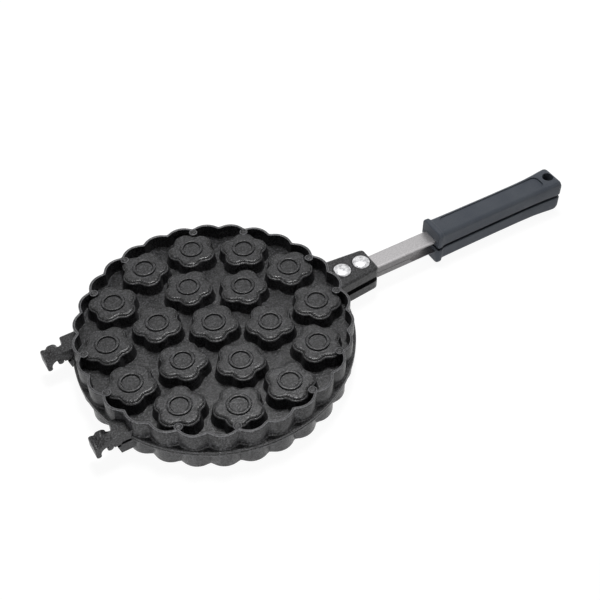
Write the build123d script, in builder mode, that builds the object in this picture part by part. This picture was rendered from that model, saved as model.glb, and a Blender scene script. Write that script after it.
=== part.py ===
"""Egg waffle pan: two hinged cast halves with nineteen blossom cups each, on riveted steel handles.

Frame: millimetres, +Z up, +X towards the handles. The origin is the centre of the middle cup's
base, in the plane on which the closed pan rests. The halves meet at the parting plane, PART_Z
above it. Every piece is drawn on the upper half, and turned half a turn about the parting
plane's X axis for the lower half. Only the hinge lugs differ.
"""

from math import atan2, cos, degrees, radians, sin, sqrt, tan
import os

from build123d import *

# Driving dimensions: the pan
HALF_HEIGHT = 18.0  # parting plane to rim
PART_Z = HALF_HEIGHT  # height of the parting plane above the resting plane
PART_GAP = 0.15  # each parting face stops this far short of the parting plane
FLANGE_R = 101.6
FLANGE_T = 2.4
DECK_T = 6.0  # parting plane to the deck's outer face
DECK_OVERLAP = 1.0  # what stands on the deck starts this far inside it

# Driving dimensions: the scalloped skirt
LOBES = 30
LOBE_R = 100.0  # crest of a lobe, outside
CUSP_R = 95.8  # bottom of the groove between two lobes, outside
WALL = 2.0  # wall at a crest
CUSP_WALL = 2.9  # measured along the radius, because the wall runs slantwise there
LOBE_CHORDS = 4  # straight cuts round each lobe

# Driving dimensions: the blossom cups
INNER_RING_R = 40.0  # six cups
OUTER_RING_R = 76.0  # twelve cups
PETALS = 5
PETAL_CHORDS = 4  # straight cuts round each petal's arc
TIP_R = 17.4  # cup's outside at its base, to a petal's tip
VALLEY_RATIO = 0.8  # outline's smallest radius over its largest
PETAL_SWING = 18.0  # degrees from the radial line to the nearest petal, mirrored across X
INNER_CUPS = 6
OUTER_CUPS = 12
CUP_WALL = 2.6
CUP_FLOOR = 2.6
CUP_DRAFT = 9.0  # degrees
PAD_R = 2.7  # small pads inside the skirt
PAD_RING_R = 93.0
PAD_ANGLES = [12, 48, 72, 108, 132, 168, 192, 228, 252, 288, 312, 348]

# Driving dimensions: the handle boss
BOSS_ROOT_X = 90.0
BOSS_END_X = 134.0
BOSS_ROOT_W = 31.0
BOSS_END_W = 23.2
BOSS_BOTTOM = 2.4  # above the parting plane
BOSS_TOP = 11.2
BOSS_BEVEL = 2.0
BOSS_CORNER = 3.0

# Driving dimensions: the steel channel and its rivets
STRAP_W = 14.6
STRAP_TOP = 6.0  # web's outer face above the parting plane
STRAP_LOW = 0.2  # flanges' edges above the parting plane
STRAP_T = 1.5
STRAP_START_X = 102.4
BEND_R = 0.9  # outside of the bend between web and flange
FLANGE_SLOPE = 4.0
TANG_CORNER = 4.0
TURNED_SIDES = 12  # small round forms have flat sides, because they are repeated
FLANGE_END_X = 178.0  # the side flanges stop short of the grip
TANG_END_X = 262.0  # the web runs on into the grip
SLIDE = 0.05  # clearance all round where a steel piece sits in a pocket
RIVET_XS = {"inner": 108.2, "outer": 125.0}
RIVET_HEAD_R = 6.8
RIVET_HEAD_H = 2.6
RIVET_RIM = 0.6  # upright edge of the head under its dome
RIVET_SEAT_R = 7.3
RIVET_SEAT_DEPTH = 0.5
RIVET_SHANK_R = 3.0
RIVET_TAIL_R = 4.8
RIVET_TAIL_H = 1.8

# Driving dimensions: the grip
GRIP_START_X = 190.0
GRIP_END_X = 312.5
GRIP_LOW = 0.9  # grip's flat face above the parting plane
COLLAR_EASE = 1.6  # the collar's front edge is eased by this much
COLLAR_W = 23.0
COLLAR_H = 15.6
COLLAR_BACK_X = 194.6
NECK_X = 198.6  # the collar falls away to the grip's neck here
NECK_W = 20.4
NECK_H = 14.2
WAIST_X = 251.25
WAIST_W = 19.6
WAIST_H = 13.8
FLARE_X = 288.5  # the tail starts to flare
FLARE_W = 20.0
FLARE_H = 14.0
TAIL_X = 308.5
TAIL_W = 22.0
TAIL_H = 15.2
TAIL_END_W = 21.0
TAIL_END_H = 13.6
GRIP_ROUND = 3.4
PANEL_DEPTH = 0.6
PANEL_W = 12.0
PANEL_CORNER = 4.0
PANEL_START_X = 203.0
PANEL_END_X = 298.0
HANG_HOLE_X = 305.5
HANG_HOLE_R = 4.2
SCREW_XS = {"front": 208.0, "back": 250.0}
SCREW_R = 2.0
SCREW_HEAD_R = 3.6
SCREW_HEAD_H = 2.2
SCREW_HEAD_LOW = 1.0  # above the parting plane
SCREW_TIP = 10.6
SCREW_CLEARANCE = 0.1

# Driving dimensions: the hinge. Both lugs of a half are alike, and stand side by side.
HINGE_X = -103.6
HINGE_DROP = 1.9  # the axis lies this far under the parting plane
PIN_R = 2.2
LUG_FACES_Y = [-49.5, 36.2]  # each lug's -Y face
LUG_ROOT_X = -84.0
PLATE_T = 7.0  # hook's plate, measured along Y
HOOK_T = 12.0  # hook's whole thickness, with the knob on its plate's +Y side
WEB_W = 14.5  # root web, measured along Y
WEB_END_X = -98.4
WEB_FILLET = 2.5
LUG_TOP = 7.8

# Driving dimensions: a hook, in its side view. It hangs over the pin with room to lift off.
ARCH_X = -105.7
ARCH_DROP = 3.2
ARCH_R = 5.0
NECK_LOW = -2.0  # underside of the neck, beside the arch
NECK_END_X = -96.2  # the neck's step stays clear of the lower flange's edge
NECK_STEP = 1.0
CLAW_END_X = -114.2
CLAW_TIP = (-112.0, -5.7)
CLAW_TOP = 3.4  # here the claw's upright face meets its rounded top
PLATE_BEND = (-107.7, 6.2)
PLATE_NOSE = (-112.9, 4.8)
KNOB_LEDGE = 4.8
KNOB_STEP_X = -111.0
KNOB_TOP = 6.6
KNOB_FRONT_X = -109.9
KNOB_BACK_X = -105.4
KNOB_BACK = (-102.4, 3.0)
KNOB_FOOT = (-97.4, 1.0)

# Driving dimensions: a shoulder of the lower half, which carries the pin on an arm
SHOULDER_NOSE = (-98.9, -4.0)
SHOULDER_TOE = (-97.1, -11.0)
SHOULDER_WEB_END_X = -96.5
PIN_INSET = 0.8  # from the hook's faces
ARM_INSET = 6.8  # from the lug's -Y face
ARM_ROOT_X = -97.3
ARM_ROOT_TOP = -4.5
ARM_ROOT_LOW = -7.7
ARM_TOP = (-102.4, -3.75)  # where the arm meets the pin
ARM_LOW = (-104.5, -3.9)

PARTING_AXIS = Axis((0, 0, PART_Z), (1, 0, 0))

os.makedirs("parts", exist_ok=True)


def level(height):
    """Horizontal plane at a height over the parting plane."""
    return Plane.XY.offset(PART_Z + height)


def upright(y):
    """Plane across Y at y, with sketch x along X and sketch y up from the parting plane."""
    return Plane(origin=(0, y, PART_Z), x_dir=(1, 0, 0), z_dir=(0, -1, 0))


def polar(radius, angle):
    return (radius * cos(radians(angle)), radius * sin(radians(angle)))


def lower_twin(piece):
    """The same piece on the lower half."""
    return piece.rotate(PARTING_AXIS, 180)


def finish(piece, label):
    piece.label = label
    export_step(piece, f"parts/{label}.step")


def turned(x, stations):
    """Small round piece on an upright axis at x, through stations of height and radius."""
    flat_ratio = cos(radians(180 / TURNED_SIDES))
    with BuildPart() as piece:
        for (low, low_r), (high, high_r) in zip(stations, stations[1:]):
            if low < high:
                with BuildSketch(level(low)):
                    with Locations((x, 0)):
                        RegularPolygon(low_r, TURNED_SIDES)
                lean = atan2((low_r - high_r) * flat_ratio, high - low)
                extrude(amount=high - low, taper=degrees(lean))
    return piece.part


def scallops(crest_r, cusp_r, chords):
    """Outline of LOBES outward arcs that meet in cusps. Each arc is cut into equal chords."""
    pitch = 360 / LOBES
    corners = []
    for lobe in range(LOBES):
        start = polar(cusp_r, lobe * pitch)
        crest = polar(crest_r, (lobe + 0.5) * pitch)
        end = polar(cusp_r, (lobe + 1) * pitch)
        arc = ThreePointArc(start, crest, end, mode=Mode.PRIVATE)
        corners += [arc @ (cut / chords) for cut in range(chords)]
    with BuildSketch() as outline:
        with BuildLine():
            Polyline(*corners, close=True)
        make_face()
    return outline.sketch


def blossom(tip_r):
    """Five-petal outline with a petal on +X. Each petal is one arc, cut into equal chords."""
    half_pitch = radians(180 / PETALS)
    valley_r = tip_r * VALLEY_RATIO
    # The arc's centre is as far from the tip as from the valley beside it.
    centre_r = (tip_r**2 - valley_r**2) / (2 * (tip_r - valley_r * cos(half_pitch)))
    petal_r = tip_r - centre_r
    sweep = 2 * atan2(valley_r * sin(half_pitch), valley_r * cos(half_pitch) - centre_r)
    corners = []
    for petal in range(PETALS):
        turn = 2 * half_pitch * petal
        for chord in range(PETAL_CHORDS):
            around = turn - sweep / 2 + sweep * chord / PETAL_CHORDS
            x = centre_r * cos(turn) + petal_r * cos(around)
            y = centre_r * sin(turn) + petal_r * sin(around)
            corners.append((x, y))
    with BuildSketch() as outline:
        with BuildLine():
            Polyline(*corners, close=True)
        make_face()
    return outline.sketch


def cup_places():
    """One place per cup. The blossoms on the -Y side mirror those on the +Y side."""
    places = [Location((0, 0, 0), 180)]
    for ring_r, count in ((INNER_RING_R, INNER_CUPS), (OUTER_RING_R, OUTER_CUPS)):
        for cup in range(count // 2):
            angle = (cup + 0.5) * 360 / count
            for side in (1, -1):
                x, y = polar(ring_r, side * angle)
                places.append(Location((x, y, 0), side * (angle + PETAL_SWING)))
    return places


def drafted_blossom(low, high, base_r):
    """Blossom between two heights. base_r is its tip radius in the resting plane."""
    with BuildPart() as form:
        with BuildSketch(level(HALF_HEIGHT)):
            add(blossom(base_r))
        extrude(amount=low - HALF_HEIGHT)
        petals = form.faces().filter_by(Plane.XY, reverse=True)
        draft(petals, neutral_plane=level(HALF_HEIGHT), angle=CUP_DRAFT)
        split(bisect_by=level(high), keep=Keep.BOTTOM)
    return form.part


def cast_half(lugs):
    """A casting: flange, deck, skirt, cups, pads and handle boss, with its hinge lugs."""
    with BuildPart() as casting:
        with BuildSketch(level(PART_GAP)):
            Circle(FLANGE_R)
        extrude(amount=FLANGE_T - PART_GAP)
        with BuildSketch(level(FLANGE_T)):
            add(scallops(LOBE_R, CUSP_R, LOBE_CHORDS))
        extrude(amount=HALF_HEIGHT - FLANGE_T)
        add(lugs)
        # The boss runs out from the skirt, and narrows towards its bevelled end.
        with BuildSketch(level(BOSS_BOTTOM)):
            with BuildLine():
                Polyline(
                    (BOSS_ROOT_X, BOSS_ROOT_W / 2),
                    (BOSS_END_X, BOSS_END_W / 2),
                    (BOSS_END_X, -BOSS_END_W / 2),
                    (BOSS_ROOT_X, -BOSS_ROOT_W / 2),
                    close=True,
                )
            make_face()
        boss_faces = extrude(amount=BOSS_TOP - BOSS_BOTTOM, mode=Mode.PRIVATE)
        end_corners = boss_faces.edges().filter_by(Axis.Z).group_by(Axis.X)[-1]
        boss = boss_faces.chamfer(BOSS_CORNER, BOSS_CORNER, end_corners)
        rim = boss.faces().sort_by(Axis.Z)[-1].edges().sort_by(Axis.X)[1:]
        add(boss.chamfer(BOSS_BEVEL, BOSS_BEVEL, rim))
        # The skirt is hollowed down to the deck, through the roots of the lugs and the boss.
        with BuildSketch(level(DECK_T)):
            add(scallops(LOBE_R - WALL, CUSP_R - CUSP_WALL, LOBE_CHORDS))
        extrude(amount=HALF_HEIGHT - DECK_T, mode=Mode.SUBTRACT)
        with BuildSketch(level(DECK_T - DECK_OVERLAP)):
            for angle in PAD_ANGLES:
                with Locations(polar(PAD_RING_R, angle)):
                    RegularPolygon(PAD_R, TURNED_SIDES)
        extrude(amount=HALF_HEIGHT - DECK_T + DECK_OVERLAP)
        # The steel channel lies in a pocket under the boss, open at its end and below.
        with BuildSketch(level(BOSS_BOTTOM)):
            with Locations((STRAP_START_X - SLIDE, 0)):
                Rectangle(
                    BOSS_END_X - STRAP_START_X + 2 * SLIDE,
                    STRAP_W + 2 * SLIDE,
                    align=(Align.MIN, Align.CENTER),
                )
        extrude(amount=STRAP_TOP - BOSS_BOTTOM, mode=Mode.SUBTRACT)
        seat = BOSS_TOP - RIVET_SEAT_DEPTH
        for x in RIVET_XS.values():
            add(turned(x, [(STRAP_TOP, RIVET_SHANK_R), (seat, RIVET_SHANK_R)]), mode=Mode.SUBTRACT)
            add(turned(x, [(seat, RIVET_SEAT_R), (BOSS_TOP, RIVET_SEAT_R)]), mode=Mode.SUBTRACT)
        with Locations(cup_places()):
            add(drafted_blossom(DECK_T - DECK_OVERLAP, HALF_HEIGHT, TIP_R))
        with Locations(cup_places()):
            hollow = drafted_blossom(PART_GAP, HALF_HEIGHT - CUP_FLOOR, TIP_R - CUP_WALL)
            add(hollow, mode=Mode.SUBTRACT)
    return casting.part


def hook(top):
    """Side view of a hook over its pin. top is its upper outline, from the claw to the root."""
    arch_front = (ARCH_X - ARCH_R, -ARCH_DROP)
    arch_end = (ARCH_X + sqrt(ARCH_R**2 - (NECK_LOW + ARCH_DROP) ** 2), NECK_LOW)
    with BuildSketch() as side:
        with BuildLine():
            Polyline(
                arch_end,
                (NECK_END_X, NECK_LOW),
                (NECK_END_X + NECK_STEP, PART_GAP),
                *reversed(top),
                (CLAW_END_X, CLAW_TOP),
                (CLAW_END_X, -ARCH_DROP),
            )
            ThreePointArc((CLAW_END_X, -ARCH_DROP), CLAW_TIP, arch_front)
            ThreePointArc(arch_front, (ARCH_X, ARCH_R - ARCH_DROP), arch_end)
        make_face()
    return side.sketch


def root_web(face_y, low, high, end_x):
    """Root web of a lug, which widens it along the skirt on its +Y side."""
    with BuildPart() as web:
        with BuildSketch(level(low)):
            with BuildLine():
                Polyline(
                    (LUG_ROOT_X, face_y),
                    (end_x, face_y),
                    (end_x, face_y + WEB_W),
                    (LUG_ROOT_X, face_y + WEB_W),
                    close=True,
                )
            make_face()
        extrude(amount=high - low)
    return web.part


def web_fillet(lug_y):
    """Fills the corner between a hook's plate and its root web."""
    corner = (WEB_END_X, lug_y + PLATE_T)
    on_plate = (WEB_END_X - WEB_FILLET, lug_y + PLATE_T)
    on_web = (WEB_END_X, lug_y + PLATE_T + WEB_FILLET)
    with BuildPart() as fill:
        with BuildSketch(level(PART_GAP)):
            with BuildLine():
                Polyline(on_plate, corner, on_web)
                RadiusArc(on_web, on_plate, WEB_FILLET)
            make_face()
        extrude(amount=KNOB_TOP - PART_GAP)
    return fill.part


def upper_lugs():
    """Two hooks, each a plate with a knob on its +Y side, and a root web."""
    plate_top = [
        PLATE_NOSE,
        PLATE_BEND,
        (WEB_END_X, LUG_TOP),
        (LUG_ROOT_X, LUG_TOP),
        (LUG_ROOT_X, PART_GAP),
    ]
    knob_top = [
        (PLATE_NOSE[0], KNOB_LEDGE),
        (KNOB_STEP_X, KNOB_LEDGE),
        (KNOB_FRONT_X, KNOB_TOP),
        (KNOB_BACK_X, KNOB_TOP),
        KNOB_BACK,
        KNOB_FOOT,
        (NECK_END_X, KNOB_FOOT[1]),
    ]
    with BuildPart() as lugs:
        for lug_y in LUG_FACES_Y:
            with BuildSketch(upright(lug_y)):
                add(hook(plate_top))
            extrude(amount=-PLATE_T)
            with BuildSketch(upright(lug_y + PLATE_T)):
                add(hook(knob_top))
            extrude(amount=PLATE_T - HOOK_T)
            add(root_web(lug_y, PART_GAP, LUG_TOP, WEB_END_X))
            add(web_fillet(lug_y))
    return lugs.part


def lower_lugs():
    """Two shoulders, each with a pin on an arm for a hook to turn on."""
    with BuildPart() as lugs:
        for lug_y in LUG_FACES_Y:
            add(root_web(lug_y, SHOULDER_TOE[1], -FLANGE_T, SHOULDER_WEB_END_X))
            with BuildSketch(upright(lug_y)):
                with BuildLine():
                    Polyline(
                        (LUG_ROOT_X, SHOULDER_TOE[1]),
                        (LUG_ROOT_X, SHOULDER_NOSE[1]),
                        SHOULDER_NOSE,
                        SHOULDER_TOE,
                        close=True,
                    )
                make_face()
            extrude(amount=-HOOK_T)
            with BuildSketch(upright(lug_y + ARM_INSET)):
                with BuildLine():
                    Polyline(
                        (HINGE_X, -HINGE_DROP),
                        ARM_TOP,
                        (ARM_ROOT_X, ARM_ROOT_TOP),
                        (ARM_ROOT_X, ARM_ROOT_LOW),
                        ARM_LOW,
                        close=True,
                    )
                make_face()
            extrude(amount=ARM_INSET + PIN_INSET - HOOK_T)
            with BuildSketch(upright(lug_y + PIN_INSET)):
                with Locations((HINGE_X, -HINGE_DROP)):
                    Circle(PIN_R)
            extrude(amount=2 * PIN_INSET - HOOK_T)
    return lugs.part


def strap():
    """Steel channel, open towards the parting plane. Its flanges stop before the grip."""
    with BuildPart() as channel:
        with BuildSketch(level(STRAP_TOP)):
            with Locations(((STRAP_START_X + TANG_END_X) / 2, 0)):
                Rectangle(TANG_END_X - STRAP_START_X, STRAP_W)
        extrude(amount=-STRAP_T)
        # Each flange ends in a slope that runs up to the web.
        for side in (-1, 1):
            with BuildSketch(upright(side * (STRAP_W - STRAP_T) / 2)):
                with BuildLine():
                    Polyline(
                        (STRAP_START_X, STRAP_TOP - STRAP_T),
                        (STRAP_START_X, STRAP_LOW),
                        (FLANGE_END_X, STRAP_LOW),
                        (FLANGE_END_X + FLANGE_SLOPE, STRAP_TOP - STRAP_T),
                        close=True,
                    )
                make_face()
            extrude(amount=STRAP_T / 2, both=True)
        chamfer(channel.edges().filter_by(Axis.Z).group_by(Axis.X)[-1], TANG_CORNER)
        fillet(channel.edges().filter_by(Axis.X).group_by(Axis.Z)[-1], BEND_R)
        for x in RIVET_XS.values():
            add(turned(x, [(0, RIVET_SHANK_R), (STRAP_TOP, RIVET_SHANK_R)]), mode=Mode.SUBTRACT)
        for x in SCREW_XS.values():
            add(turned(x, [(0, SCREW_R), (STRAP_TOP, SCREW_R)]), mode=Mode.SUBTRACT)
    return channel.part


def rivet(x):
    """Domed head in its seat on the boss, shank, and the tail set inside the channel."""
    seat = BOSS_TOP - RIVET_SEAT_DEPTH
    web_low = STRAP_TOP - STRAP_T
    dome_rise = RIVET_HEAD_H - RIVET_RIM
    stations = [
        (web_low - RIVET_TAIL_H, RIVET_TAIL_R),
        (web_low, RIVET_TAIL_R),
        (web_low, RIVET_SHANK_R),
        (seat, RIVET_SHANK_R),
        (seat, RIVET_HEAD_R),
        (seat + RIVET_RIM, RIVET_HEAD_R),
        (seat + RIVET_RIM + dome_rise * cos(radians(45)), RIVET_HEAD_R * sin(radians(60))),
        (seat + RIVET_HEAD_H, RIVET_HEAD_R * sin(radians(30))),
    ]
    return turned(x, stations)


def grip_section(x, width, height):
    """Cross-section of the grip: flat underneath, with rounded top corners."""
    across = Plane(origin=(x, 0, PART_Z), x_dir=(0, 1, 0), z_dir=(1, 0, 0))
    turn_in = GRIP_ROUND * (1 - cos(radians(45)))
    corner = [
        (width / 2, GRIP_LOW),
        (width / 2, height - GRIP_ROUND),
        (width / 2 - turn_in, height - turn_in),
        (width / 2 - GRIP_ROUND, height),
    ]
    with BuildSketch(across) as section:
        with BuildLine():
            Polyline(*corner, *[(-y, z) for y, z in reversed(corner)], close=True)
        make_face()
    return section.sketch


def screw_form(x, clearance):
    """A grip screw, or with some clearance the hole for it. The hole's head end is open."""
    head_low = SCREW_HEAD_LOW if clearance == 0 else 0
    head_top = SCREW_HEAD_LOW + SCREW_HEAD_H + clearance
    stations = [
        (head_low, SCREW_HEAD_R + clearance),
        (head_top, SCREW_HEAD_R + clearance),
        (head_top, SCREW_R + clearance),
        (SCREW_TIP + clearance, SCREW_R + clearance),
    ]
    return turned(x, stations)


def grip():
    """Moulded handle: collar, drawn-in waist, flared tail, top panel, slot and hanging hole."""
    stations = [
        (GRIP_START_X, COLLAR_W - COLLAR_EASE, COLLAR_H - COLLAR_EASE / 2),
        (GRIP_START_X + COLLAR_EASE, COLLAR_W, COLLAR_H),
        (COLLAR_BACK_X, COLLAR_W, COLLAR_H),
        (NECK_X, NECK_W, NECK_H),
        (WAIST_X, WAIST_W, WAIST_H),
        (FLARE_X, FLARE_W, FLARE_H),
        (TAIL_X, TAIL_W, TAIL_H),
        (GRIP_END_X, TAIL_END_W, TAIL_END_H),
    ]
    with BuildPart() as handle:
        for x, width, height in stations:
            add(grip_section(x, width, height))
        loft(ruled=True)
        with BuildSketch(level(WAIST_H - PANEL_DEPTH)) as panel:
            with Locations(((PANEL_START_X + PANEL_END_X) / 2, 0)):
                Rectangle(PANEL_END_X - PANEL_START_X, PANEL_W)
            chamfer(panel.vertices(), PANEL_CORNER)
        extrude(amount=COLLAR_H - WAIST_H + PANEL_DEPTH, mode=Mode.SUBTRACT)
        # Slot for the tang.
        with BuildSketch(level(STRAP_TOP + SLIDE)):
            with Locations(((GRIP_START_X + TANG_END_X) / 2, 0)):
                Rectangle(TANG_END_X - GRIP_START_X + 2 * SLIDE, STRAP_W + 2 * SLIDE)
        extrude(amount=-STRAP_T - 2 * SLIDE, mode=Mode.SUBTRACT)
        with BuildSketch(level(GRIP_LOW)):
            with Locations((HANG_HOLE_X, 0)):
                Circle(HANG_HOLE_R)
        extrude(amount=TAIL_H, mode=Mode.SUBTRACT)
        for x in SCREW_XS.values():
            add(screw_form(x, SCREW_CLEARANCE), mode=Mode.SUBTRACT)
    return handle.part


finish(cast_half(upper_lugs()), "upper_mould")
finish(lower_twin(cast_half(lower_twin(lower_lugs()))), "lower_mould")

handle_pieces = {"handle_channel": strap(), "grip": grip()}
for place, rivet_x in RIVET_XS.items():
    handle_pieces[f"{place}_rivet"] = rivet(rivet_x)
for place, screw_x in SCREW_XS.items():
    handle_pieces[f"{place}_grip_screw"] = screw_form(screw_x, 0)
for name, piece in handle_pieces.items():
    finish(lower_twin(piece), f"lower_{name}")
    finish(piece, f"upper_{name}")
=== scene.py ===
"""Looks of the egg waffle pan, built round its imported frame. Shapes are drawn in millimetres.

Both castings are the same form: the upper one is drawn, and turned half a turn about the parting
plane's X axis for the lower one. Heights are measured from the parting plane.
"""

from math import cos, hypot, pi, radians, sin, sqrt, tan

import bmesh
import bpy
from mathutils import Matrix, Vector


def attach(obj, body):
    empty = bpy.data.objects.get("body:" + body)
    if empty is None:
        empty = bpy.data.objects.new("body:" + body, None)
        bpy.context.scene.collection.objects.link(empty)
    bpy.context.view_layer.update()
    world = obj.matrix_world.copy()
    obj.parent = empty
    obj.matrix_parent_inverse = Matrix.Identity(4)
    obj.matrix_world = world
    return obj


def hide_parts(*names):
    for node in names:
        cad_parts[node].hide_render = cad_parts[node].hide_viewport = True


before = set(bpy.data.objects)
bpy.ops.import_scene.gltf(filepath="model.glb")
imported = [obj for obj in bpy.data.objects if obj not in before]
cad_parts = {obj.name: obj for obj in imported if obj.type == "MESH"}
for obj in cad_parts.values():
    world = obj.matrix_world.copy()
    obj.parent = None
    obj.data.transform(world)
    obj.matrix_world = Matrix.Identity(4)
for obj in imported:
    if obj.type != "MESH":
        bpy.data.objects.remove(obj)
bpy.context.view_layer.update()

MM = 0.001
PART_Z = 18.0  # parting plane above the resting plane
PART_GAP = 0.15  # each half's parting face stops this far short of the plane
HALF_HEIGHT = 18.0  # parting plane to the beads and pads

# Flange, skirt and deck
FLANGE_R = 101.6
FLANGE_T = 2.4
DECK = 6.0
RIM_TOP = 17.5  # the pads and beads stand a little over the skirt
LOBES = 30
LOBE_STEPS = 12
# Radius at a lobe's crest, radius at the cusps beside it, and how much the cusps are rounded
OUTER_SKIRT = (100.0, 95.8, 0.09)
INNER_SKIRT = (98.0, 92.9, 0.14)
SKIRT_CORE = (97.9, 92.8, 0.14)

# Cups and pads
PETALS = 5
PETAL_STEPS = 16
PETAL_MIDDLE = 15.35  # radius halfway between a petal's tip and the valleys
PETAL_SWELL = 1.65
PETAL_BLUNTING = 0.3
PETAL_SWING = 18.0  # degrees from the radial line
CUP_DRAFT = tan(radians(9))
CUP_WALL = 2.6
LEDGE = 15.55  # step in the cup's wall under its rim
CUP_TOP = 16.9  # the bead on it reaches the resting plane
BEAD_WALL = 0.75  # upright part of the bead's sides
GROOVE = 0.7  # depth of the grooves beside the bead
RINGS = ((40.0, 6), (76.0, 12))  # radius and number of cups
PAD_X = 92.8
PAD_STEPS = 24
PAD_ANGLES = (12, 48, 72, 108, 132, 168)

# Handle
RIVET_XS = {"inner": 108.2, "outer": 125.0}
RIVET_STEPS = 64
RIVET_R = 6.8
SEAT = 10.7  # what the rivet heads sit on
HEAD_EDGE = 11.2  # top of a rivet head's upright edge
HEAD_RISE = 2.1
BOSS_TOP = 11.2
BOSS_CORNER_X = 131.0
BOSS_CORNER_Y = 8.7
BOSS_CORNER_R = 3.0
STRAP_START = 102.4
STRAP_END = 262.0
STRAP_HALF_W = 7.3
STRAP_TOP = 6.0
STRAP_LOW = 0.2
STRAP_T = 1.5
STRAP_BEND = 1.6
POCKET_HALF_W = 7.35
POCKET_TOP = 6.05
SCREW_XS = {"front": 208.0, "back": 250.0}
SCREW_STEPS = 32
HOLE_X = 305.5
HOLE_R = 4.2
GRIP_LOW = 1.3
GRIP_LOW_R = 0.6
PANEL_LOW = 13.1

# Hinge, in the lugs' side view: X and height
PIN = (-103.6, -1.9)
PIN_R = 2.2
PIN_SHORT = 0.8  # the pin stops this far inside the shoulder's faces
ARCH = (-105.7, -3.2)
ARCH_R = 5.0
CLAW = (-112.45, -3.88)
CLAW_R = 1.85
NECK_LOW = -2.0
NECK_END = -96.2
KNOB = (-106.2, 2.4)
KNOB_R = 4.3
LUG_FACES = (-49.5, 36.2)  # Y of each lug's face nearest -Y
LUG_ROOT = -84.0
LUG_TOP = 7.8
BEVEL_END = -85.0  # lug edges behind this are inside the casting and stay sharp
PLATE_T = 7.0
HOOK_T = 12.0
WEB_END = -98.4
WEB_W = 14.5
SHOULDER_END = -96.5
SHOULDER_LOW = -11.0
SHOULDER_TOP = -2.4

# Faces shaded flat: level ones, and wide ones, in square metres
LEVEL_NORMAL = 0.9998
WIDE_FACE = 1.5e-4
SMOOTH_LIMIT = 32  # degrees
BEVEL_LIMIT = 35

UPPER = Matrix.Translation((0, 0, PART_Z))
LOWER = UPPER @ Matrix.Rotation(pi, 4, "X")
SIDE_VIEW = Matrix(((1, 0, 0, 0), (0, 0, 1, 0), (0, 1, 0, 0), (0, 0, 0, 1)))
END_VIEW = Matrix(((0, 0, 1, 0), (1, 0, 0, 0), (0, 1, 0, 0), (0, 0, 0, 1)))


# ---------------------------------------------------------------- mesh tools


def ring(bm, outline, height):
    """Loop of edges through an outline's points, all at one height."""
    verts = bmesh.ops.create_circle(bm, segments=len(outline), radius=1)["verts"]
    for vert, (x, y) in zip(verts, outline):
        vert.co = (x, y, height)
    return list(dict.fromkeys(edge for vert in verts for edge in vert.link_edges))


def close(bm, loop):
    bmesh.ops.contextual_create(bm, geom=loop)


def skin(bm, loops):
    """Bridges each loop of edges to the next, and closes the first and the last."""
    for near, far in zip(loops, loops[1:]):
        bmesh.ops.bridge_loops(bm, edges=near + far)
    close(bm, loops[0])
    close(bm, loops[-1])


def circle(radius, steps):
    turns = [2 * pi * k / steps for k in range(steps)]
    return [(radius * cos(turn), radius * sin(turn)) for turn in turns]


def offset(outline, inset):
    """The outline moved inwards along its normals. It runs anticlockwise."""
    moved = []
    count = len(outline)
    for k, (x, y) in enumerate(outline):
        ahead = outline[(k + 1) % count]
        behind = outline[k - 1]
        dx = ahead[0] - behind[0]
        dy = ahead[1] - behind[1]
        length = hypot(dx, dy)
        moved.append((x - inset * dy / length, y + inset * dx / length))
    return moved


def arc(centre, radius, start, end, steps):
    """Points on an arc, in degrees."""
    points = []
    for k in range(steps + 1):
        angle = radians(start + (end - start) * k / steps)
        points.append((centre[0] + radius * cos(angle), centre[1] + radius * sin(angle)))
    return points


def rectangle(low_x, high_x, half_w):
    return [(low_x, -half_w), (high_x, -half_w), (high_x, half_w), (low_x, half_w)]


def rounded_rectangle(low_x, high_x, half_w, corner):
    steps = 10
    outline = arc((high_x - corner, half_w - corner), corner, 0, 90, steps)
    outline += arc((low_x + corner, half_w - corner), corner, 90, 180, steps)
    outline += arc((low_x + corner, -half_w + corner), corner, 180, 270, steps)
    outline += arc((high_x - corner, -half_w + corner), corner, 270, 360, steps)
    return outline


def tidy(bm):
    bmesh.ops.remove_doubles(bm, verts=bm.verts, dist=1e-4)
    bmesh.ops.recalc_face_normals(bm, faces=bm.faces)


def append(bm, other, matrix):
    """Adds another bmesh's faces, moved by matrix."""
    mesh = bpy.data.meshes.new("part")
    other.to_mesh(mesh)
    mesh.transform(matrix)
    bm.from_mesh(mesh)
    bpy.data.meshes.remove(mesh)


def pull(bm, way):
    """Extrudes the bmesh's one face."""
    pulled = bmesh.ops.extrude_face_region(bm, geom=bm.faces[:])["geom"]
    ends = [item for item in pulled if isinstance(item, bmesh.types.BMVert)]
    bmesh.ops.translate(bm, verts=ends, vec=way)


def prism(outline, low, high, upright=False):
    """Closed outline pulled straight. An upright one is in X and height, and is pulled along Y."""
    bm = bmesh.new()
    close(bm, ring(bm, outline, low))
    pull(bm, (0, 0, high - low))
    if upright:
        bmesh.ops.transform(bm, matrix=SIDE_VIEW, verts=bm.verts)
    bmesh.ops.recalc_face_normals(bm, faces=bm.faces)
    return bm


def turning(profile, x, steps=48):
    """Round piece on an upright axis at x, from its profile of radius and height."""
    bm = bmesh.new()
    verts = [bm.verts.new((radius, 0, height)) for radius, height in profile]
    edges = [bm.edges.new(pair) for pair in zip(verts, verts[1:])]
    bmesh.ops.spin(
        bm,
        geom=verts + edges,
        cent=(0, 0, 0),
        axis=(0, 0, 1),
        angle=2 * pi,
        steps=steps,
        use_merge=True,
    )
    tidy(bm)
    bmesh.ops.translate(bm, verts=bm.verts, vec=(x, 0, 0))
    return bm


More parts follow.
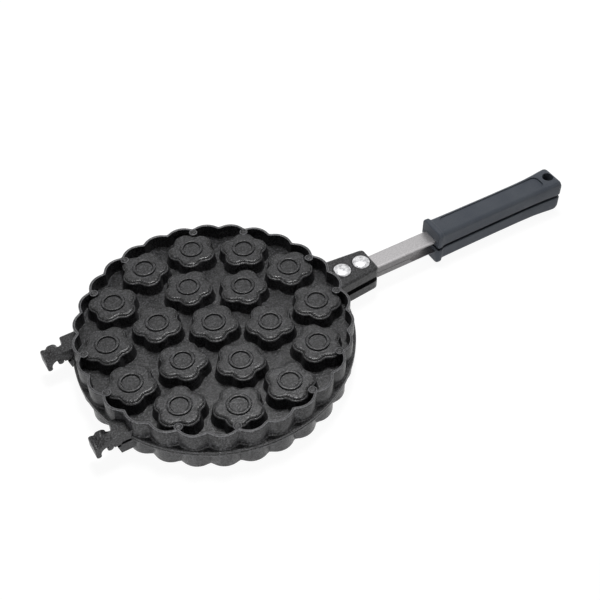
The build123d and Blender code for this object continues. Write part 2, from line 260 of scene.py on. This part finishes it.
def soften(bm, width, segments, where):
    """Bevels the sharp edges that where() picks."""
    sharp = []
    for edge in bm.edges:
        if len(edge.link_faces) == 2 and edge.calc_face_angle(0) > radians(BEVEL_LIMIT):
            if where(edge):
                sharp.append(edge)
    bmesh.ops.bevel(
        bm,
        geom=sharp,
        offset=width,
        offset_type="OFFSET",
        segments=segments,
        profile=0.5,
        affect="EDGES",
        clamp_overlap=True,
        material=-1,
    )
    return bm


def staged(name, bm):
    """Puts a bmesh in the scene as an object, unscaled."""
    made = bpy.data.objects.new(name, bpy.data.meshes.new(name))
    bm.to_mesh(made.data)
    bpy.context.scene.collection.objects.link(made)
    return made


def join(bm, others, operation="UNION"):
    """Unites a closed bmesh with others, or takes them out of it."""
    target = staged("target", bm)
    used = [target]
    for other in others:
        tool = staged("tool", other)
        used.append(tool)
        step = target.modifiers.new("step", "BOOLEAN")
        step.operation = operation
        step.solver = "MANIFOLD"
        step.object = tool
    bpy.context.view_layer.update()
    graph = bpy.context.evaluated_depsgraph_get()
    mesh = bpy.data.meshes.new_from_object(target.evaluated_get(graph))
    result = bmesh.new()
    result.from_mesh(mesh)
    bpy.data.meshes.remove(mesh)
    for thing in used:
        mesh = thing.data
        bpy.data.objects.remove(thing)
        bpy.data.meshes.remove(mesh)
    return result


def piece(name, bm, body, node, material, matrix):
    """Makes the object that stands for a CAD node, from a bmesh in millimetres."""
    mesh = bpy.data.meshes.new(name)
    bm.to_mesh(mesh)
    mesh.transform(Matrix.Scale(MM, 4) @ matrix)
    mesh.set_sharp_from_angle(angle=radians(SMOOTH_LIMIT))
    for face in mesh.polygons:
        level = abs(face.normal.z) > LEVEL_NORMAL
        face.use_smooth = not level and face.area < WIDE_FACE
    mesh.materials.append(material)
    made = bpy.data.objects.new(name, mesh)
    bpy.context.scene.collection.objects.link(made)
    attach(made, body)
    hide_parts(node)


# ---------------------------------------------------------------- materials


def shader(name, base, roughness, metallic=0.0, specular=0.5):
    """A material with its Principled BSDF and object coordinates in millimetres."""
    material = bpy.data.materials.new(name)
    material.use_nodes = True
    nodes = material.node_tree.nodes
    bsdf = nodes["Principled BSDF"]
    bsdf.inputs["Base Color"].default_value = (*base, 1)
    bsdf.inputs["Roughness"].default_value = roughness
    bsdf.inputs["Metallic"].default_value = metallic
    bsdf.inputs["Specular IOR Level"].default_value = specular
    place = nodes.new("ShaderNodeTexCoord")
    scale = nodes.new("ShaderNodeMapping")
    scale.inputs["Scale"].default_value = (1 / MM, 1 / MM, 1 / MM)
    material.node_tree.links.new(place.outputs["Object"], scale.inputs["Vector"])
    return material, bsdf, scale.outputs["Vector"]


def wire(owner, output, socket):
    owner.node_tree.links.new(output, socket)


def noise(owner, vector, scale, detail, roughness=0.5, stretch=None):
    nodes = owner.node_tree.nodes
    if stretch:
        mapping = nodes.new("ShaderNodeMapping")
        mapping.inputs["Scale"].default_value = stretch
        wire(owner, vector, mapping.inputs["Vector"])
        vector = mapping.outputs["Vector"]
    texture = nodes.new("ShaderNodeTexNoise")
    texture.inputs["Scale"].default_value = scale
    texture.inputs["Detail"].default_value = detail
    texture.inputs["Roughness"].default_value = roughness
    wire(owner, vector, texture.inputs["Vector"])
    return texture.outputs["Fac"]


def ramp(owner, value, stops):
    """Colour ramp: stops are (position, colour or grey)."""
    node = owner.node_tree.nodes.new("ShaderNodeValToRGB")
    wire(owner, value, node.inputs["Fac"])
    elements = node.color_ramp.elements
    while len(elements) < len(stops):
        elements.new(0.5)
    for element, (position, colour) in zip(elements, stops):
        element.position = position
        if isinstance(colour, (int, float)):
            colour = (colour, colour, colour)
        element.color = (*colour, 1)
    return node.outputs["Color"]


def mix(owner, factor, first, second, blend="MIX"):
    """Colour mix of two colour outputs."""
    node = owner.node_tree.nodes.new("ShaderNodeMix")
    node.data_type = "RGBA"
    node.blend_type = blend
    colours = [socket for socket in node.inputs if socket.type == "RGBA"]
    if isinstance(factor, float):
        node.inputs[0].default_value = factor
    else:
        wire(owner, factor, node.inputs[0])
    wire(owner, first, colours[0])
    wire(owner, second, colours[1])
    return [socket for socket in node.outputs if socket.type == "RGBA"][0]


def calc(owner, operation, first, second=None):
    """A Math node's output. What goes into it is an output or a number."""
    node = owner.node_tree.nodes.new("ShaderNodeMath")
    node.operation = operation
    for value, socket in zip((first, second), node.inputs):
        if isinstance(value, float):
            socket.default_value = value
        elif value:
            wire(owner, value, socket)
    return node.outputs[0]


def spread(owner, value, low, high, at_low=0.0, at_high=1.0):
    """A value that runs from at_low to at_high as the input runs from low to high."""
    node = owner.node_tree.nodes.new("ShaderNodeMapRange")
    node.inputs["From Min"].default_value = low
    node.inputs["From Max"].default_value = high
    node.inputs["To Min"].default_value = at_low
    node.inputs["To Max"].default_value = at_high
    wire(owner, value, node.inputs["Value"])
    return node.outputs["Result"]


def along(owner, place, axis):
    """One coordinate of a place."""
    split = owner.node_tree.nodes.new("ShaderNodeSeparateXYZ")
    wire(owner, place, split.inputs["Vector"])
    return split.outputs[axis]


def bump(owner, bsdf, height, distance, strength):
    node = owner.node_tree.nodes.new("ShaderNodeBump")
    node.inputs["Strength"].default_value = strength
    node.inputs["Distance"].default_value = distance
    wire(owner, height, node.inputs["Height"])
    wire(owner, node.outputs["Normal"], bsdf.inputs["Normal"])


def coated_casting():
    """Black non-stick coat with a fine grain, and a painted highlight: a paler band on the rounded
    edges of the skirt's rim, the pads and the beads.
    """
    made, bsdf, place = shader("coated_casting", (0.02, 0.02, 0.0215), 0.3, specular=0.34)
    grain = noise(made, place, 0.85, 2.0, 0.6)
    cloud = noise(made, place, 0.05, 3.0)
    specks = [(0.4, (0.002, 0.002, 0.0022)), (0.5, (0.017, 0.017, 0.0182))]
    specks += [(0.6, (0.092, 0.092, 0.097))]
    shade = ramp(made, cloud, [(0.3, 0.85), (0.7, 1.1)])
    coat = mix(made, 1.0, ramp(made, grain, specks), shade, "MULTIPLY")
    height = calc(made, "SUBTRACT", along(made, place, "Z"), PART_Z)
    height = calc(made, "ABSOLUTE", height)

    # Painted highlight: between about 16.9 and 17.5 mm from the parting plane the coat is coloured
    # paler, standing in for the light that the rounded edges of the skirt's rim, the pads and the
    # beads catch.
    low, high = 16.5, 18.5
    edges = [(16.9, 0.0), (17.04, 1.0), (17.44, 1.0), (17.488, 0.05), (18.5, 0.05)]
    edges = [((level - low) / (high - low), share) for level, share in edges]
    painted_edge_highlight = ramp(made, spread(made, height, low, high), edges)
    highlight_colour = ramp(made, grain, [(0.4, (0.1, 0.1, 0.106)), (0.6, (0.22, 0.22, 0.23))])
    wire(made, mix(made, painted_edge_highlight, coat, highlight_colour), bsdf.inputs["Base Color"])

    # The rounding of the cups' rims is smoother than the rest.
    above = spread(made, height, 16.0, 16.2)
    below = spread(made, height, 16.88, 16.8)
    rim = calc(made, "MULTIPLY", below, above)
    rough = ramp(made, grain, [(0.4, 0.38), (0.6, 0.23)])
    smooth = ramp(made, grain, [(0.4, 0.2), (0.6, 0.14)])
    wire(made, mix(made, rim, rough, smooth), bsdf.inputs["Roughness"])
    bump(made, bsdf, grain, 0.0003, 0.9)
    return made


def strap_steel():
    """Brushed steel, with painted shade: the folded sides are coloured darker than the top."""
    made, bsdf, place = shader("strap_steel", (0.4, 0.4, 0.4), 0.32, 1.0)
    lines = noise(made, place, 1.3, 3.0, 0.6, (0.5, 1.6, 1.6))
    tone = ramp(made, lines, [(0.35, (0.31, 0.3, 0.305)), (0.65, (0.49, 0.48, 0.485))])
    # Painted shade: from 6.9 mm out from the middle the steel's colour is darkened to 0.42 of the
    # top's, standing in for the shade on the sides.
    across = calc(made, "ABSOLUTE", along(made, place, "Y"))
    painted_side_shade = spread(made, across, 6.9, 7.25, 1.0, 0.42)
    side = ramp(made, painted_side_shade, [(0.0, 0.0), (1.0, 1.0)])
    wire(made, mix(made, 1.0, tone, side, "MULTIPLY"), bsdf.inputs["Base Color"])
    wire(made, ramp(made, lines, [(0.3, 0.42), (0.7, 0.26)]), bsdf.inputs["Roughness"])
    bump(made, bsdf, lines, 0.00004, 0.5)
    return made


def rivet_metal():
    """Bright upset metal with soft grey marks."""
    made, bsdf, place = shader("rivet_metal", (0.72, 0.72, 0.74), 0.28, 1.0)
    marks = noise(made, place, 0.42, 3.0, 0.65)
    tone = ramp(made, marks, [(0.36, (0.33, 0.33, 0.34)), (0.6, (0.84, 0.84, 0.85))])
    wire(made, tone, bsdf.inputs["Base Color"])
    wire(made, ramp(made, marks, [(0.3, 0.36), (0.7, 0.2)]), bsdf.inputs["Roughness"])
    bump(made, bsdf, marks, 0.0002, 0.6)
    return made


def grip_moulding():
    """Blue-grey matt plastic."""
    made, bsdf, place = shader("grip_moulding", (0.07, 0.08, 0.098), 0.42, specular=0.25)
    grain = noise(made, place, 2.2, 3.0, 0.6)
    cloud = noise(made, place, 0.06, 3.0)
    tone = ramp(made, cloud, [(0.3, (0.068, 0.078, 0.097)), (0.7, (0.086, 0.097, 0.115))])
    fine = ramp(made, grain, [(0.35, 0.86), (0.65, 1.1)])
    wire(made, mix(made, 1.0, tone, fine, "MULTIPLY"), bsdf.inputs["Base Color"])
    wire(made, ramp(made, grain, [(0.3, 0.58), (0.7, 0.44)]), bsdf.inputs["Roughness"])
    bump(made, bsdf, grain, 0.00005, 0.5)
    return made


def screw_steel():
    made, bsdf, place = shader("screw_steel", (0.5, 0.5, 0.5), 0.35, 1.0)
    marks = noise(made, place, 1.2, 3.0, 0.6)
    tone = ramp(made, marks, [(0.3, (0.42, 0.42, 0.41)), (0.7, (0.6, 0.6, 0.58))])
    wire(made, tone, bsdf.inputs["Base Color"])
    wire(made, ramp(made, marks, [(0.3, 0.45), (0.7, 0.3)]), bsdf.inputs["Roughness"])
    bump(made, bsdf, marks, 0.00005, 0.5)
    return made


# ---------------------------------------------------------------- casting


def blossom(inset):
    """Five-petal outline with a petal on +X, moved inwards from the cup's rim."""
    outline = []
    for k in range(PETALS * PETAL_STEPS):
        angle = 2 * pi * k / (PETALS * PETAL_STEPS)
        swell = PETAL_SWELL * cos(PETALS * angle)
        radius = PETAL_MIDDLE + swell - PETAL_BLUNTING * cos(2 * PETALS * angle)
        outline.append((radius * cos(angle), radius * sin(angle)))
    return offset(outline, inset)


def cup():
    """Outside of one cup: its fillet on the deck, wall, ledge, rounded rim, bead and grooves."""
    wall = [  # height and inset
        (DECK - 1, -2.93),
        (DECK, -2.92),
        (DECK + 0.07, -2.78),
        (DECK + 0.25, -2.66),
        (DECK + 0.6, -2.56),
        (14.5, -1.35),
        (15.0, -1.2),
        (15.3, -0.96),
        (LEDGE - 0.06, -0.66),
        (LEDGE, -0.36),
        (LEDGE + 0.05, -0.16),
        (LEDGE + 0.3, -0.08),
        (16.1, 0.0),
        (16.36, 0.16),
        (16.53, 0.4),
        (16.79, 0.98),
        (16.86, 1.35),
        (CUP_TOP - 0.01, 1.75),
        (CUP_TOP, 2.3),
    ]
    # Neighbouring rings never share a height, because the bridge between them would fold.
    bead = [  # height and radius
        (CUP_TOP + 0.02, 9.0),
        (CUP_TOP - GROOVE, 8.87),
        (CUP_TOP - GROOVE - 0.01, 8.5),
        (CUP_TOP, 8.4),
        (CUP_TOP + BEAD_WALL, 8.38),
        (17.88, 8.2),
        (17.97, 7.85),
        (HALF_HEIGHT, 7.45),
        (17.97, 7.0),
        (17.88, 6.7),
        (CUP_TOP + BEAD_WALL, 6.5),
        (CUP_TOP, 6.45),
        (CUP_TOP - GROOVE, 6.4),
        (CUP_TOP - GROOVE - 0.01, 6.0),
        (CUP_TOP, 5.85),
    ]
    bm = bmesh.new()
    loops = [ring(bm, blossom(inset), height) for height, inset in wall]
    steps = PETALS * PETAL_STEPS
    loops += [ring(bm, circle(radius, steps), height) for height, radius in bead]
    skin(bm, loops)
    tidy(bm)
    return bm


def cavity():
    """Inside of one cup, from below the parting plane to the batter's floor."""

    def inset(height):
        return CUP_WALL - ((HALF_HEIGHT - height) * CUP_DRAFT + 0.7)

    wall = [  # height and inset
        (PART_GAP - 1, inset(0) - 0.6),
        (PART_GAP, inset(0) - 0.55),
        (PART_GAP + 0.12, inset(0) - 0.2),
        (PART_GAP + 0.5, inset(0.65)),
        (13.3, inset(13.3)),
        (14.3, inset(14.3) + 0.3),
        (15.0, inset(15.0) + 0.9),
        (15.35, inset(15.35) + 1.8),
        (15.4, inset(15.4) + 2.8),
    ]
    bm = bmesh.new()
    skin(bm, [ring(bm, blossom(shift), height) for height, shift in wall])
    tidy(bm)
    return bm


def cup_places():
    places = [Matrix.Rotation(pi, 4, "Z")]
    for ring_r, count in RINGS:
        for k in range(count // 2):
            angle = radians((k + 0.5) * 360 / count)
            for side in (1, -1):
                x = ring_r * cos(angle)
                y = side * ring_r * sin(angle)
                turn = Matrix.Rotation(side * (angle + radians(PETAL_SWING)), 4, "Z")
                places.append(Matrix.Translation((x, y, 0)) @ turn)
    return places


def everywhere(bm):
    """The same shape at each cup's place."""
    result = bmesh.new()
    for place in cup_places():
        append(result, bm, place)
    return result


def scallops(crest, cusp, rounding):
    """Lobed outline of the skirt. Each lobe is an arc, and the cusps between them are rounded."""
    half = pi / LOBES
    # The lobe's arc passes through its crest and both cusps.
    chord = cusp * sin(half)
    rise = crest - cusp * cos(half)
    bend = (chord**2 + rise**2) / (2 * rise)
    centre = crest - bend
    outline = []
    for k in range(LOBES * LOBE_STEPS):
        step = k % LOBE_STEPS / LOBE_STEPS
        near = 1 - abs(2 * step - 1)  # 0 at a cusp and 1 at a crest
        soft = sqrt(near**2 + rounding**2)
        off = max(0.0, 1 - soft) * half
        radius = centre * cos(off) + sqrt(bend**2 - (centre * sin(off)) ** 2)
        angle = 2 * pi * k / (LOBES * LOBE_STEPS)
        outline.append((radius * cos(angle), radius * sin(angle)))
    return outline


def pan_body():
    """Flange, skirt and deck as one closed skin."""
    edge = [  # height and radius
        (PART_GAP, 101.1),
        (PART_GAP + 0.12, 101.45),
        (PART_GAP + 0.45, FLANGE_R),
        (FLANGE_T - 0.5, FLANGE_R),
        (FLANGE_T - 0.14, 101.42),
        (FLANGE_T - 0.03, 101.05),
    ]
    outside = [  # height and inset
        (FLANGE_T, -1.0),
        (FLANGE_T + 0.12, -0.5),
        (FLANGE_T + 0.6, -0.08),
        (FLANGE_T + 1.4, 0.0),
        (RIM_TOP - 0.8, 0.0),
        (RIM_TOP - 0.35, 0.12),
        (RIM_TOP - 0.13, 0.4),
        (RIM_TOP - 0.04, 0.65),
        (RIM_TOP, 0.85),
    ]
    inside = [
        (RIM_TOP - 0.01, -0.85),
        (RIM_TOP - 0.05, -0.65),
        (RIM_TOP - 0.14, -0.4),
        (RIM_TOP - 0.35, -0.12),
        (RIM_TOP - 0.8, 0.0),
        (DECK + 0.9, 0.0),
        (DECK + 0.35, 0.14),
        (DECK + 0.08, 0.4),
        (DECK, 0.8),
    ]
    bm = bmesh.new()
    steps = LOBES * LOBE_STEPS
    outer = scallops(*OUTER_SKIRT)
    inner = scallops(*INNER_SKIRT)
    loops = [ring(bm, circle(radius, steps), height) for height, radius in edge]
    loops += [ring(bm, offset(outer, inset), height) for height, inset in outside]
    loops += [ring(bm, offset(inner, inset), height) for height, inset in inside]
    skin(bm, loops)
    tidy(bm)
    return bm


def pads():
    """Small round pads against the skirt's inside, each with a ring on top."""
    profile = [(0.0, 5.6), (3.1, 5.6), (3.15, 16.9), (3.05, 17.15), (2.8, 17.32), (2.4, 17.46)]
    profile += [(2.25, 17.7), (2.05, 17.95), (1.85, 18.0), (1.6, 17.9), (1.45, 17.7), (0.0, 17.6)]
    made = bmesh.new()
    for angle in PAD_ANGLES:
        for side in (1, -1):
            turn = Matrix.Rotation(side * radians(angle), 4, "Z")
            append(made, turning(profile, PAD_X, PAD_STEPS), turn)
    return made


def boss():
    """Handle boss, without its pocket and rivet seats."""
    outline = [(97.0, 14.9), (97.0, -14.9), (130.6, -11.9)]
    outline += arc((BOSS_CORNER_X, -BOSS_CORNER_Y), BOSS_CORNER_R, -84, -6, 5)
    outline += arc((BOSS_CORNER_X, BOSS_CORNER_Y), BOSS_CORNER_R, 6, 84, 5)
    outline += [(130.6, 11.9)]
    bm = prism(outline, FLANGE_T, BOSS_TOP)
    return soften(bm, 1.9, 4, lambda edge: all(v.co.z > BOSS_TOP - 0.2 for v in edge.verts))


def boss_hollows():
    """Pocket for the strap and a seat round each rivet."""
    hollows = prism(rectangle(102.3, 140.0, POCKET_HALF_W), -1.0, POCKET_TOP)
    seat = [(0.0, SEAT), (7.0, SEAT), (7.3, 10.95), (7.45, 12.0), (0.0, 12.0)]
    for x in RIVET_XS.values():
        append(hollows, turning(seat, x), Matrix())
    return hollows


def on_lug(edge):
    """Whether an edge is on the part of a lug that stands out of the casting."""
    return min(v.co.x for v in edge.verts) < BEVEL_END


def claw_and_arch():
    """A hook's side view from the claw's upright face to the neck."""
    side = [(-114.3, 3.2)]
    side += arc(CLAW, CLAW_R, 172, 377, 10)
    side += arc(ARCH, ARCH_R, 176, 15, 16)
    side += [(NECK_END, NECK_LOW)]
    return side


def hook(y):
    """One hook of the upper half: plate, knob beside it, and root web."""
    claw_ridge = [(-110.2, 4.35), (-110.9, 4.2), (-111.6, 4.6), (-112.4, 4.95)]
    claw_ridge += [(-113.2, 4.85), (-113.9, 4.4), (-114.2, 3.8)]
    plate = claw_and_arch()
    plate += [(NECK_END + 1, PART_GAP), (LUG_ROOT, PART_GAP), (LUG_ROOT, LUG_TOP)]
    plate += [(-98.4, LUG_TOP), (-103.4, 7.25), (-107.2, 6.4), (-108.6, 6.0), (-109.4, 5.0)]
    plate += claw_ridge
    knob = claw_and_arch() + [(NECK_END, 1.0), (-98.6, 1.1), (-100.6, 1.6)]
    knob += arc(KNOB, KNOB_R, 0, 95, 9)
    knob += [(-108.2, 6.6), (-109.1, 6.1), (-109.7, 5.1)] + claw_ridge
    web = [(LUG_ROOT, y + 0.3), (WEB_END - 3, y + 0.3), (WEB_END - 3, y + PLATE_T)]
    web += arc((WEB_END - 2.6, y + PLATE_T + 2.6), 2.6, 270, 360, 6)
    web += arc((WEB_END + 1.4, y + WEB_W - 1.4), 1.4, 180, 90, 5)
    web += [(LUG_ROOT, y + WEB_W)]
    parts = [
        prism(knob, y + PLATE_T - 0.5, y + HOOK_T, upright=True),
        prism(web, PART_GAP, LUG_TOP),
    ]
    lug = join(prism(plate, y, y + PLATE_T, upright=True), parts)
    return soften(lug, 0.55, 3, on_lug)


def shoulder(y):
    """One shoulder of the lower half, with the pin on its arm."""
    web = [(LUG_ROOT, y), (SHOULDER_END, y)]
    web += [(SHOULDER_END, y + WEB_W), (LUG_ROOT, y + WEB_W)]
    foot = [(LUG_ROOT, SHOULDER_LOW), (LUG_ROOT, -4.0), (-98.9, -4.0), (-97.1, SHOULDER_LOW)]
    arm = [PIN, (-102.4, -3.75), (-97.3, -4.5), (-97.3, -7.7), (-104.5, -3.9)]
    pin = arc(PIN, PIN_R, 0, 348, 29)
    parts = [
        prism(foot, y, y + HOOK_T, upright=True),
        prism(arm, y + 6.8, y + HOOK_T - PIN_SHORT, upright=True),
        prism(pin, y + PIN_SHORT, y + HOOK_T - PIN_SHORT, upright=True),
    ]
    lug = join(prism(web, SHOULDER_LOW, SHOULDER_TOP), parts)
    return soften(lug, 0.4, 3, on_lug)


def castings():
    """The two moulds. Lugs are cut off where they would reach inside the skirt."""
    half = join(pan_body(), [everywhere(cup()), pads(), boss()])
    hollows = boss_hollows()
    append(hollows, everywhere(cavity()), Matrix())
    half = join(half, [hollows], "DIFFERENCE")
    core = prism(scallops(*SKIRT_CORE), DECK + 0.02, 24.0)
    # The lower lugs are drawn in place, so they are turned back before the half turn.
    turned_back = Matrix.Rotation(pi, 4, "X")
    for label, lug, turn, place in (
        ("upper", hook, Matrix(), UPPER),
        ("lower", shoulder, turned_back, LOWER),
    ):
        lugs = bmesh.new()
        for y in LUG_FACES:
            append(lugs, lug(y), turn)
        casting = join(half, [join(lugs, [core], "DIFFERENCE")])
        name, body, node = f"{label}_casting", f"{label}_half", f"{label}_mould"
        piece(name, casting, body, node, CASTING, place)


# ---------------------------------------------------------------- handles


def rivet(x):
    profile = [(0.0, 2.7), (4.2, 2.7), (4.8, 3.3), (4.8, 4.5), (3.0, 4.5), (3.0, SEAT)]
    profile += [(6.5, SEAT), (RIVET_R, 10.9), (RIVET_R, HEAD_EDGE)]
    for degrees in range(10, 90, 10):
        angle = radians(degrees)
        profile.append((RIVET_R * cos(angle), HEAD_EDGE + HEAD_RISE * sin(angle)))
    profile += [(0.0, 13.3)]
    return turning(profile, x, RIVET_STEPS)


def channel():
    """Sheet-steel channel with rounded bends. Its web runs on into the grip."""
    inner_w = STRAP_HALF_W - STRAP_T
    inner_top = STRAP_TOP - STRAP_T
    bend_y = STRAP_HALF_W - STRAP_BEND
    bend_height = STRAP_TOP - STRAP_BEND
    section = [(-STRAP_HALF_W, STRAP_LOW)]
    section += arc((-bend_y, bend_height), STRAP_BEND, 180, 90, 6)
    section += arc((bend_y, bend_height), STRAP_BEND, 90, 0, 6)
    section += [(STRAP_HALF_W, STRAP_LOW), (inner_w, STRAP_LOW), (inner_w, inner_top)]
    section += [(-inner_w, inner_top), (-inner_w, STRAP_LOW)]
    bm = bmesh.new()
    bm.faces.new([bm.verts.new((STRAP_START, y, height)) for y, height in section])
    pull(bm, (STRAP_END - STRAP_START, 0, 0))
    bmesh.ops.recalc_face_normals(bm, faces=bm.faces)
    # The sides slope away before the grip, and the tang's corners are cut.
    slope = [(165.0, 0.0), (168.5, 4.5), (270.0, 4.5), (270.0, -1.0), (165.0, -1.0)]
    cuts = [prism(slope, -9.0, 9.0, upright=True)]
    for side in (-1, 1):
        corner = [(257.5, side * 8.0), (263.0, side * 8.0), (263.0, side * 2.6)]
        cuts.append(prism(corner, 3.0, 8.0))
    return join(bm, cuts, "DIFFERENCE")


def grip_section(width, height):
    """Section across the grip: tight lower corners and broad upper shoulders."""
    shoulder_line = [(0.0, 3.1), (0.1, 2.4), (0.45, 1.75), (1.5, 0.6)]
    shoulder_line += [(2.0, 0.28), (2.6, 0.07), (3.3, 0.0)]  # inwards and down from the corner
    half_w = width / 2
    corner_y = half_w - GRIP_LOW_R
    corner_height = GRIP_LOW + GRIP_LOW_R
    section = arc((corner_y, corner_height), GRIP_LOW_R, -90, 0, 3)
    section += [(half_w - inward, height - down) for inward, down in shoulder_line]
    section += [(inward - half_w, height - down) for inward, down in shoulder_line[::-1]]
    section += arc((-corner_y, corner_height), GRIP_LOW_R, 180, 270, 3)
    return section


def grip():
    """Moulded grip: collar, drawn-in waist, flared tail, top panel and hanging hole."""
    stations = [  # X, width and height
        (190.0, 21.2, 14.3),
        (190.3, 22.3, 15.0),
        (190.9, 22.9, 15.5),
        (191.8, 23.0, 15.6),
        (193.2, 23.0, 15.6),
        (194.0, 22.7, 15.4),
        (194.6, 21.6, 14.8),
        (195.2, 20.7, 14.3),
        (196.6, 20.3, 14.0),
        (215.0, 19.9, 13.9),
        (251.0, 19.6, 13.8),
        (275.0, 19.7, 13.8),
        (288.5, 20.0, 14.0),
        (298.0, 20.8, 14.5),
        (305.0, 21.6, 15.0),
        (308.6, 22.0, 15.1),
        (310.3, 21.9, 14.6),
        (311.5, 21.5, 13.7),
        (312.2, 20.9, 12.7),
        (312.5, 20.2, 11.8),
    ]
    bm = bmesh.new()
    skin(bm, [ring(bm, grip_section(width, height), x) for x, width, height in stations])
    bmesh.ops.transform(bm, matrix=END_VIEW, verts=bm.verts)
    bmesh.ops.recalc_face_normals(bm, faces=bm.faces)
    bore = [(0.0, -2.0), (HOLE_R, -2.0), (HOLE_R, 13.2), (4.6, 15.0), (5.6, 18.0), (0.0, 18.0)]
    sink = [(0.0, -1.0), (3.9, -1.0), (3.9, 3.2), (0.0, 3.2)]
    cuts = [
        prism(rounded_rectangle(200.5, 297.5, 6.7, 4.5), PANEL_LOW, 18.0),
        prism(rectangle(180.0, 262.05, POCKET_HALF_W), 4.45, POCKET_TOP),
        turning(bore, HOLE_X),
    ]
    cuts += [turning(sink, x) for x in SCREW_XS.values()]
    return join(bm, cuts, "DIFFERENCE")


def grip_screw(x):
    profile = [(0.0, 1.4), (1.0, 1.4), (1.2, 1.0), (3.3, 1.0), (3.6, 1.3), (3.6, 3.2)]
    profile += [(2.0, 3.2), (2.0, 10.6), (0.0, 10.6)]
    return turning(profile, x, SCREW_STEPS)


def handles():
    strap = channel()
    handle = grip()
    for half, matrix in (("upper", UPPER), ("lower", LOWER)):
        body = f"{half}_half"
        channel_node = f"{half}_handle_channel"
        piece(f"{half}_strap", strap, body, channel_node, STRAP, matrix)
        grip_node = f"{half}_grip"
        piece(f"{half}_handle_grip", handle, body, grip_node, GRIP, matrix)
        for label, x in RIVET_XS.items():
            name = f"{half}_{label}_rivet"
            piece(f"{name}_turned", rivet(x), body, name, RIVET, matrix)
        for label, x in SCREW_XS.items():
            name = f"{half}_{label}_grip_screw"
            piece(f"{name}_turned", grip_screw(x), body, name, SCREW, matrix)


CASTING = coated_casting()
STRAP = strap_steel()
RIVET = rivet_metal()
GRIP = grip_moulding()
SCREW = screw_steel()

castings()
handles()


# ---------------------------------------------------------------- studio

FLOOR_DROP = 0.0003  # keeps the floor clear of the pads' faces
FLOOR_SIZE = 6.0
FLOOR_LIT = 0.8  # the floor's colour for light that bounces
FLOOR_SEEN = 0.14  # and where it is seen, under its own glow
GLOW_NEAR = 0.93
WORLD_LIGHT = 0.04


def seen_directly(owner):
    """1 for what the camera sees, also in metal or through glass, and 0 for light on the pan."""
    rays = owner.node_tree.nodes.new("ShaderNodeLightPath").outputs
    seen = calc(owner, "MAXIMUM", rays["Is Camera Ray"], rays["Is Glossy Ray"])
    return calc(owner, "MAXIMUM", seen, rays["Is Transmission Ray"])


def floor():
    """White floor that fades into the backdrop, with a faint shadow on it."""
    bm = bmesh.new()
    bmesh.ops.create_grid(bm, x_segments=1, y_segments=1, size=FLOOR_SIZE)
    bmesh.ops.translate(bm, verts=bm.verts, vec=(0, 0, -FLOOR_DROP))
    made = staged("studio_floor", bm)
    material = bpy.data.materials.new("studio_white")
    material.use_nodes = True
    nodes = material.node_tree.nodes
    bsdf = nodes["Principled BSDF"]
    bsdf.inputs["Roughness"].default_value = 0.9
    seen = seen_directly(material)
    wire(material, seen, bsdf.inputs["Emission Strength"])
    place = nodes.new("ShaderNodeTexCoord")
    reach = nodes.new("ShaderNodeVectorMath")
    reach.operation = "LENGTH"
    wire(material, place.outputs["Object"], reach.inputs[0])
    far = spread(material, reach.outputs["Value"], 0.35, 1.3)
    glow = ramp(material, far, [(0.0, GLOW_NEAR), (1.0, 1.0)])
    wire(material, glow, bsdf.inputs["Emission Color"])
    tone = ramp(material, seen, [(0.0, FLOOR_LIT), (1.0, FLOOR_SEEN)])
    wire(material, tone, bsdf.inputs["Base Color"])
    made.data.materials.append(material)


def backdrop():
    """White all round where it is seen, and dim as a light."""
    world = bpy.data.worlds.new("studio_world")
    bpy.context.scene.world = world
    world.use_nodes = True
    background = world.node_tree.nodes["Background"]
    background.inputs["Color"].default_value = (1, 1, 1, 1)
    level = spread(world, seen_directly(world), 0.0, 1.0, WORLD_LIGHT, 1.0)
    wire(world, level, background.inputs["Strength"])


def lamp(name, place, aim, energy, width, height):
    data = bpy.data.lights.new(name, "AREA")
    data.energy = energy
    data.shape = "RECTANGLE"
    data.size = width
    data.size_y = height
    made = bpy.data.objects.new(name, data)
    made.location = place
    made.rotation_euler = (Vector(aim) - Vector(place)).to_track_quat("-Z", "Y").to_euler()
    bpy.context.scene.collection.objects.link(made)


def camera():
    """The photograph's view: from the front right, looking down, with the handles away."""
    azimuth, elevation, roll = radians(-30.69), radians(47.67), radians(-0.24)
    target = Vector((62.6, -14.8, 36.0)) * MM
    distance = 757.2 * MM
    frame_width, focal_length = 600, 1050  # in pixels
    back = Vector((sin(azimuth) * cos(elevation), -cos(azimuth) * cos(elevation), sin(elevation)))
    right = Vector((cos(azimuth), sin(azimuth), 0))
    up = back.cross(right)
    turned_right = right * cos(roll) + up * sin(roll)
    turned_up = up * cos(roll) - right * sin(roll)
    data = bpy.data.cameras.new("photo_camera")
    data.sensor_fit = "HORIZONTAL"
    data.sensor_width = 36.0
    data.lens = focal_length * 36.0 / frame_width
    data.clip_start = 0.05
    data.clip_end = 20.0
    made = bpy.data.objects.new("photo_camera", data)
    turn = Matrix((turned_right, turned_up, back)).transposed().to_4x4()
    made.matrix_world = Matrix.Translation(target + back * distance) @ turn
    bpy.context.scene.collection.objects.link(made)
    bpy.context.scene.camera = made


floor()
backdrop()
lamp("top_softbox", (0.17, 0.19, 1.08), (0.05, 0, 0), 7.2, 0.3, 0.3)
# Low and near, so that it lights the skirts but not the cups inside them.
lamp("front_fill", (-0.27, -0.42, 0.019), (-0.02, 0, 0.019), 0.95, 0.36, 0.03)
camera()
bpy.context.scene.view_settings.view_transform = "Standard"
